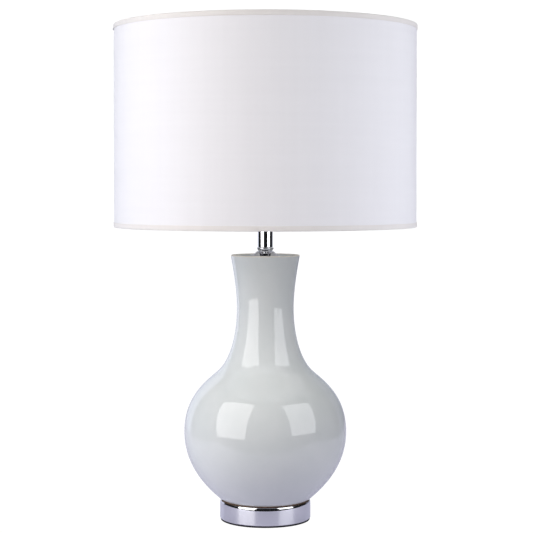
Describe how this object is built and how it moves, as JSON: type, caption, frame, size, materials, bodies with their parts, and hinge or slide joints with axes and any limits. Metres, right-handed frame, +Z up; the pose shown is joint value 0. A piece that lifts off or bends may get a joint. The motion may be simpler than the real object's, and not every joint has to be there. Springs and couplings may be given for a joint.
{
  "type": "table lamp with shade",
  "caption": "Table lamp with a glazed bottle vase body on a round chromed base, and a white fabric drum shade held on a harp.",
  "frame": {"origin": "centre of the underside of the felt pad", "axes": "+Z up, the front faces -Y, +X to the right seen from the front, the cord inlet is at the rear on +Y"},
  "size_m": [0.4, 0.4, 0.6656],
  "materials": {
    "chrome": "mirror polished chrome plate",
    "steel": "satin nickel plate",
    "cast_iron": "rough cast",
    "brass": "bright turned brass",
    "aluminium": "thin pressed sheet",
    "black_felt": "matte wool felt",
    "cork": "fine granulated cork",
    "rubber": "soft matte",
    "black_plastic": "moulded, fine grain",
    "fibre_card": "waxed insulating card",
    "glazed_ceramic": "smooth glossy celadon glaze with an unglazed cream rim",
    "milk_glass": "white coated glass",
    "shade_fabric": "fine white plain weave with a faint sheen",
    "shade_liner": "translucent white styrene sheet",
    "shade_trim": "folded white cloth, slightly creamier than the skin"
  },
  "bodies": {
    "lamp_base": {"base_pad": "black_felt", "base_weight": "cast_iron", "base_shell": "chrome", "cord_inlet_bushing": "black_plastic", "base_locknut": "brass", "base_washer": "steel", "foot_gasket": "cork", "vase_body": "glazed_ceramic", "vase_cap": "chrome", "cap_gasket": "rubber", "check_ring": "chrome", "neck_tube": "chrome", "threaded_pipe": "steel", "socket_cap": "chrome", "socket_shell": "chrome", "socket_liner": "fibre_card", "socket_core": "black_plastic", "socket_screw_shell": "brass", "socket_contact": "brass", "terminal_screw_left": "brass", "terminal_screw_right": "steel", "harp_saddle": "steel", "harp": "steel", "harp_stud": "brass"},
    "switch": {"switch_shaft": "brass", "switch_knob": "black_plastic"},
    "bulb": {"bulb_contact": "brass", "bulb_screw_base": "aluminium", "bulb_glass": "milk_glass"},
    "sleeve_left": {"harp_sleeve_left": "steel"},
    "sleeve_right": {"harp_sleeve_right": "steel"},
    "seat_washer": {"shade_washer": "brass"},
    "shade": {"shade_spider": "steel", "shade_bottom_ring": "steel", "shade_fabric": "shade_fabric", "shade_liner": "shade_liner", "shade_trim_top": "shade_trim", "shade_trim_bottom": "shade_trim"},
    "finial": {"finial": "chrome"}
  },
  "joints": [
    {"name": "shade_lift", "type": "slide", "parent": "lamp_base", "child": "seat_washer", "axis": [0, 0, 1], "range_m": [0, 0.3]},
    {"name": "shade_swivel", "type": "hinge", "parent": "seat_washer", "child": "shade", "pos_m": [0, 0, 0.636], "axis": [0, 0, 1], "continuous": true},
    {"name": "finial_turn", "type": "hinge", "parent": "shade", "child": "finial", "pos_m": [0, 0, 0.638], "axis": [0, 0, 1], "continuous": true},
    {"name": "bulb_turn", "type": "hinge", "parent": "lamp_base", "child": "bulb", "pos_m": [0, 0, 0.45], "axis": [0, 0, 1], "continuous": true},
    {"name": "switch_turn", "type": "hinge", "parent": "lamp_base", "child": "switch", "pos_m": [0, -0.028, 0.43], "axis": [0, -1, 0], "continuous": true},
    {"name": "sleeve_left_slide", "type": "slide", "parent": "lamp_base", "child": "sleeve_left", "axis": [0, 0, 1], "range_m": [0, 0.012]},
    {"name": "sleeve_right_slide", "type": "slide", "parent": "lamp_base", "child": "sleeve_right", "axis": [0, 0, 1], "range_m": [0, 0.012]}
  ]
}
